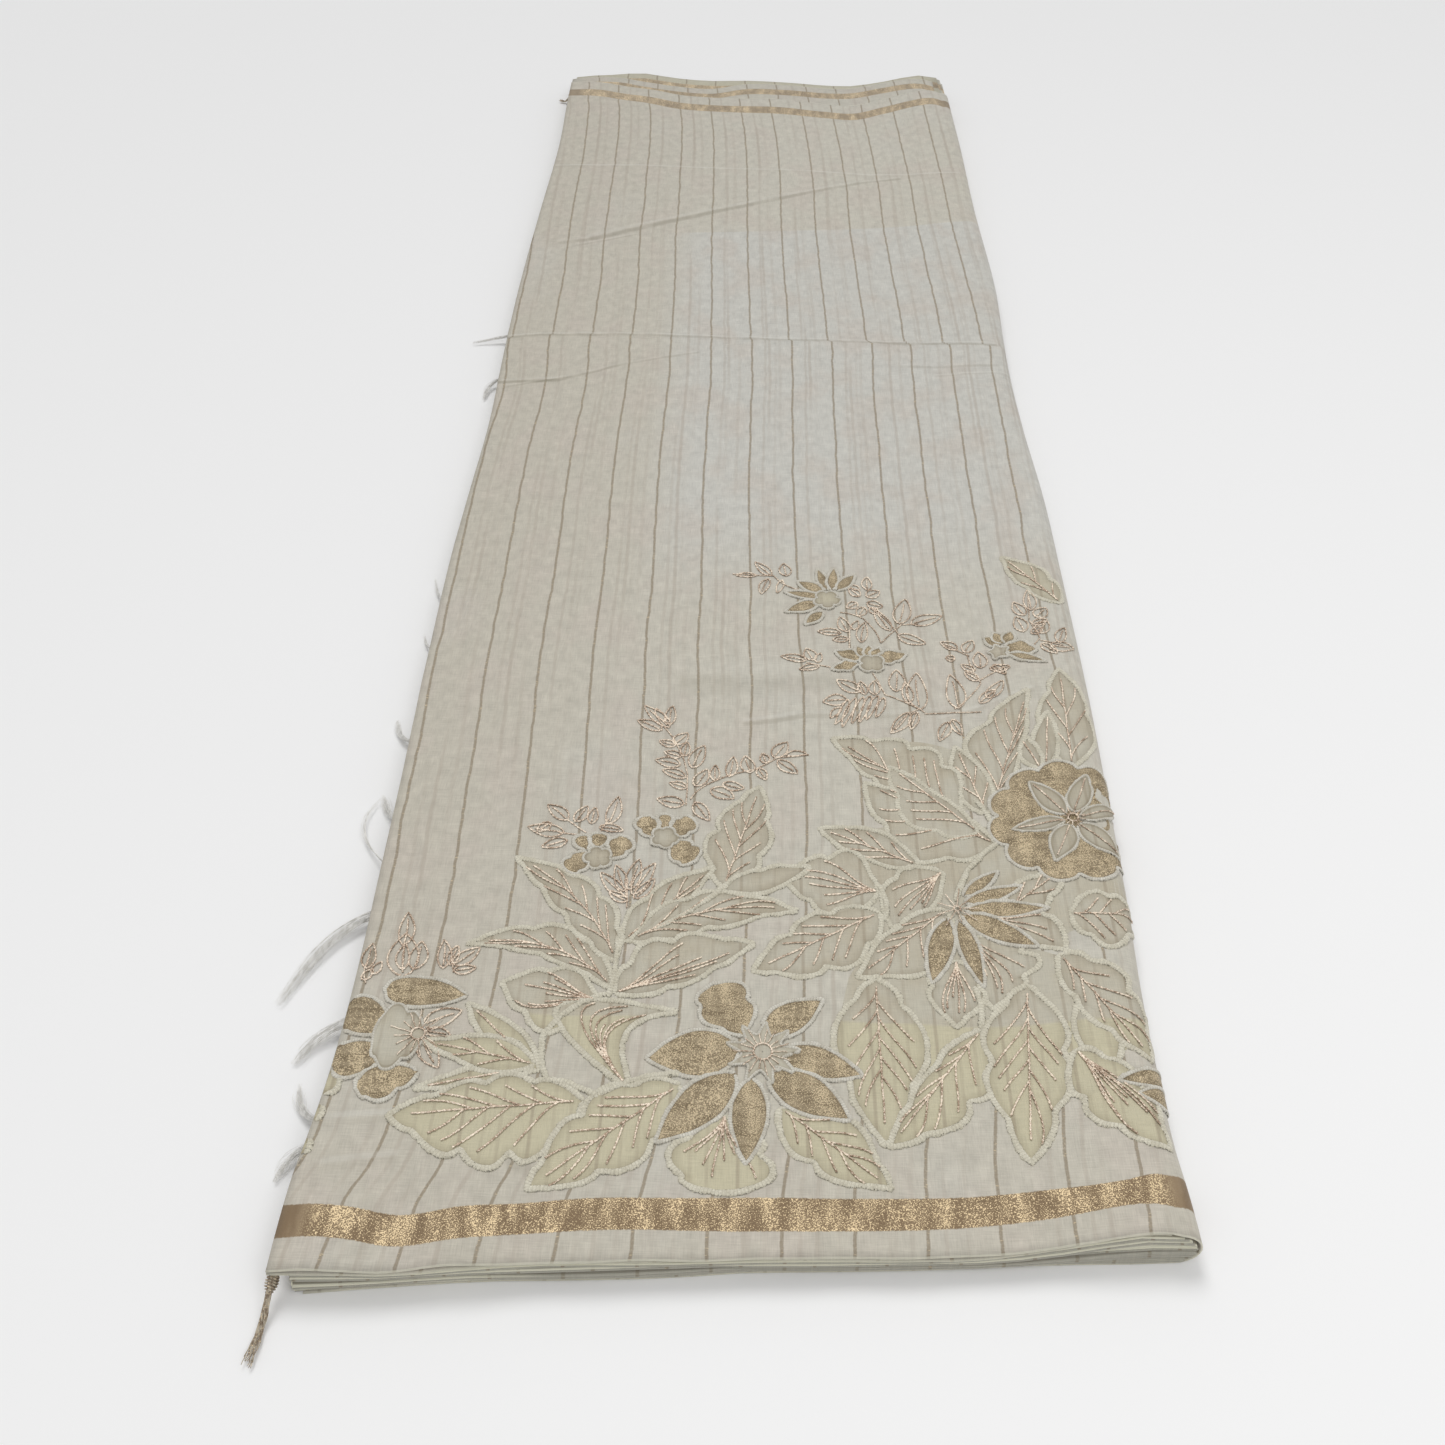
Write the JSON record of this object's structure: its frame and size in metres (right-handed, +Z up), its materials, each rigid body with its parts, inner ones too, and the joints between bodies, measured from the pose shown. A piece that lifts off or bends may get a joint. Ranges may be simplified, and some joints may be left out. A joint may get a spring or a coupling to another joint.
{
  "type": "sari",
  "caption": "a folded sari lying flat in a long narrow stack, with gold borders at its hems, raised floral applique over its near half and fringe at the left",
  "frame": {"origin": "middle of the flat underside, on the surface that the folded sari lies on", "axes": "+Y runs along the sari's cut width from the near hem to the far hem, +X across the folds to the rolled right fold, +Z up"},
  "size_m": [0.3917, 1.237, 0.0192],
  "materials": {
    "cream_cloth": "matte fine plain weave with thin metallic stripes, gold zari bands and raised applique",
    "second_cloth": "matte fine plain weave with thin metallic stripes and gold zari bands",
    "layered_cloth": "matte fine plain weave, folded in many layers",
    "fringe_thread": "loose soft yarn",
    "zari_thread": "twisted metallic gold and cream yarn"
  },
  "bodies": {
    "root": {"top_layer": "cream_cloth", "second_layer": "second_cloth", "hidden_layers": "layered_cloth", "near_fringe": "fringe_thread", "middle_fringe": "fringe_thread", "far_fringe": "fringe_thread", "near_corner_tassel": "zari_thread", "far_corner_tassel": "zari_thread"}
  },
  "joints": []
}
